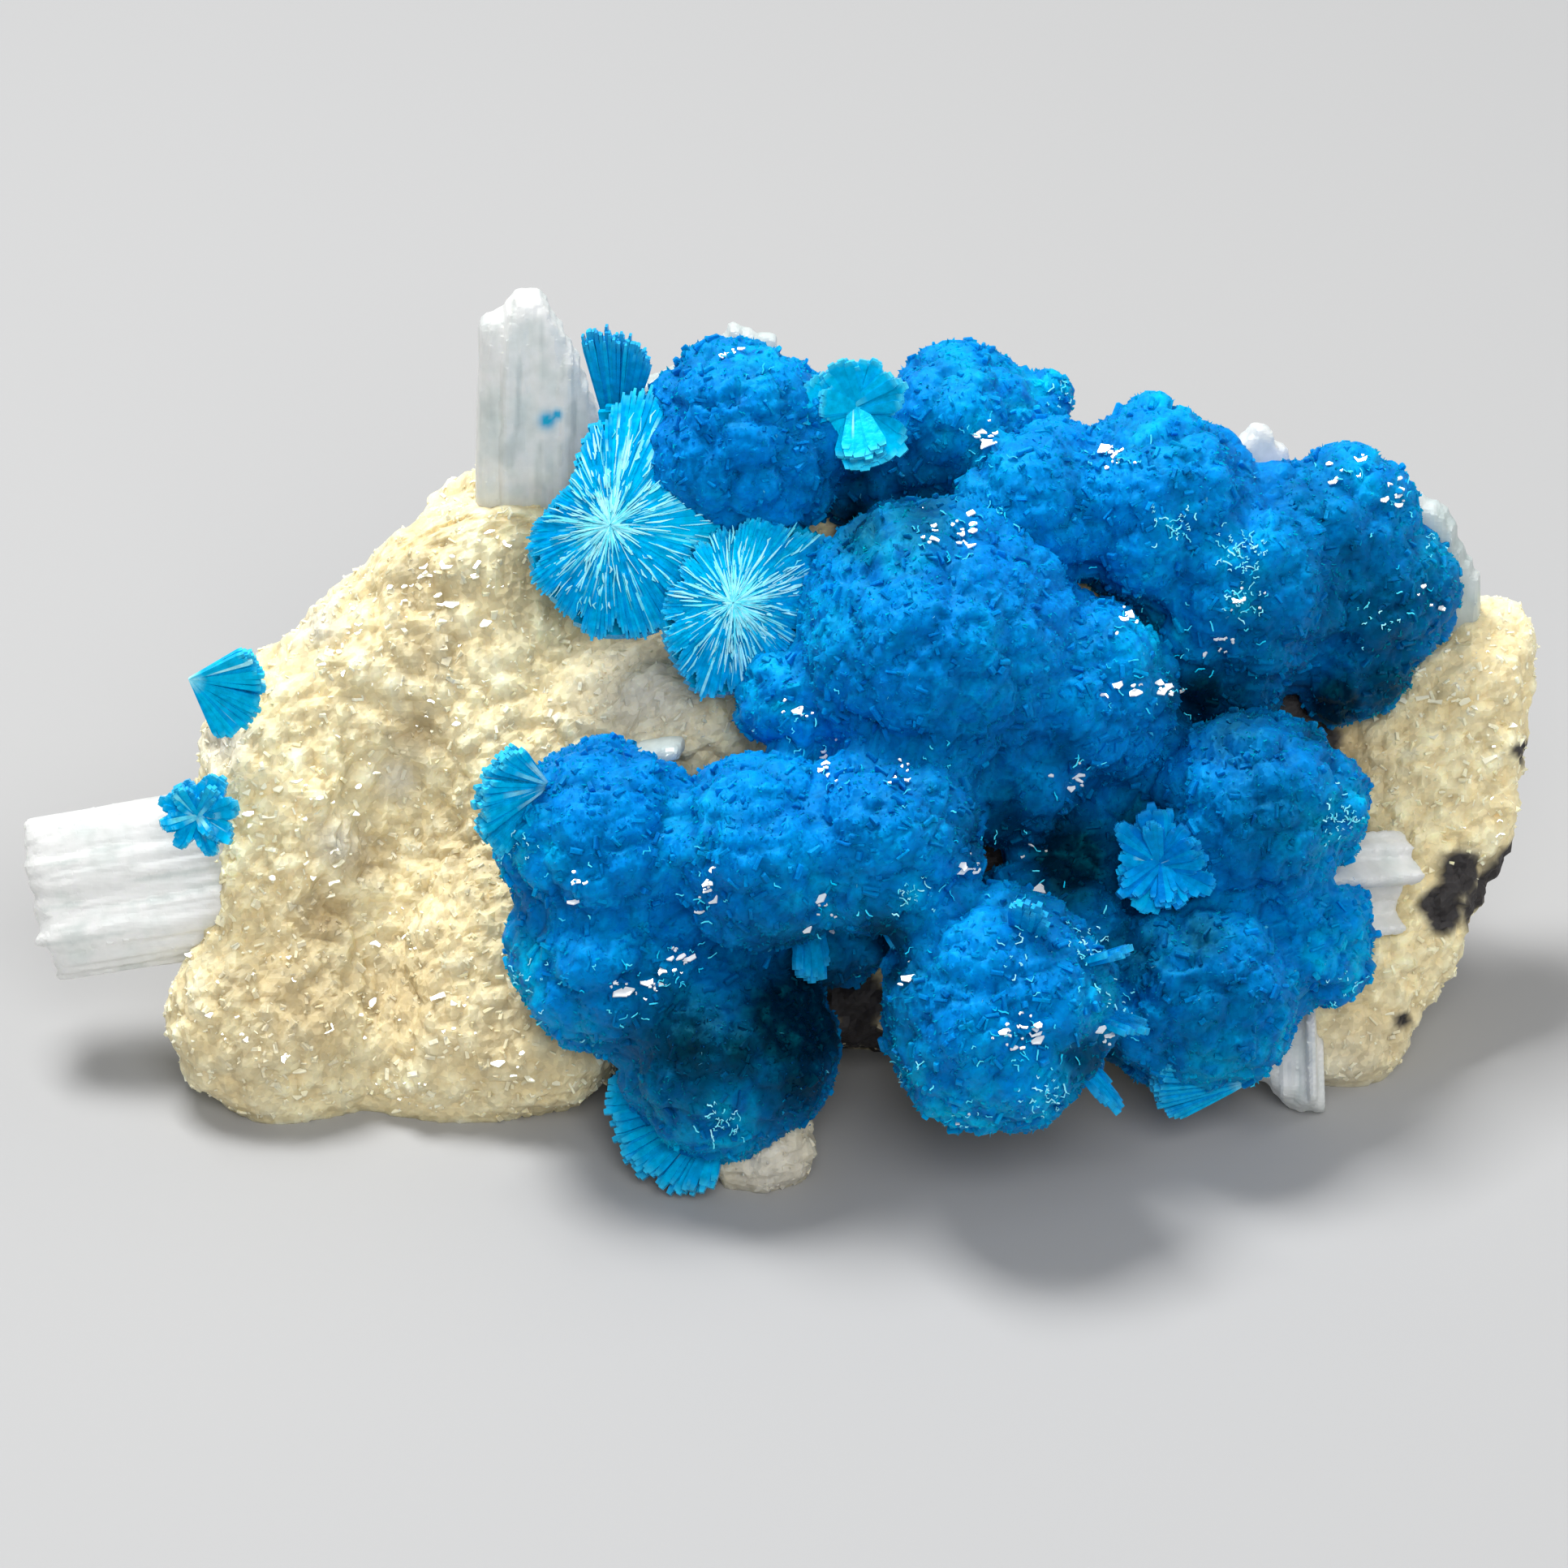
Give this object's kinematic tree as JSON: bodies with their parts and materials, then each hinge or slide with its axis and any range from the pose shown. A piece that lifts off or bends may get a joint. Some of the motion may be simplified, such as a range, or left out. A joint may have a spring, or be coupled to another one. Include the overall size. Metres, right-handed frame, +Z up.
{
  "type": "cavansite specimen",
  "caption": "Hand specimen of blue cavansite balls, open rosettes and fans grown on a wedge of rock coated with a cream druse, with pale stilbite blades; it rests on its flat underside.",
  "frame": {"origin": "on the flat underside of the rock, below the middle of the specimen", "axes": "+Z up, +X along the specimen to the right as seen from the front, -Y towards the front, where the face with the balls is"},
  "size_m": [0.0744, 0.0395, 0.0361],
  "materials": {
    "druse": "cream druse of small zeolite crystals, sparkling",
    "cavansite": "velvety blue, of fine glassy blades",
    "cavansite_pale": "glassy cyan needles",
    "stilbite": "white, translucent, pearly and striated"
  },
  "bodies": {
    "root": {"matrix_rock": "druse", "stilbite_left_block": "stilbite", "stilbite_tall_blade": "stilbite", "stilbite_rear_blade": "stilbite", "stilbite_rear_chip": "stilbite", "stilbite_right_blade": "stilbite", "stilbite_right_sheaf": "stilbite", "stilbite_right_tooth": "stilbite", "stilbite_front_chip": "stilbite", "cavansite_large_rosette": "cavansite_pale", "cavansite_small_rosette": "cavansite_pale", "cavansite_front_cluster": "cavansite", "cavansite_top_spray": "cavansite_pale", "cavansite_rear_right_cluster": "cavansite", "cavansite_rear_left_cluster": "cavansite", "cavansite_top_fan": "cavansite_pale", "cavansite_left_spray": "cavansite_pale", "cavansite_left_fan": "cavansite_pale"}
  },
  "joints": []
}
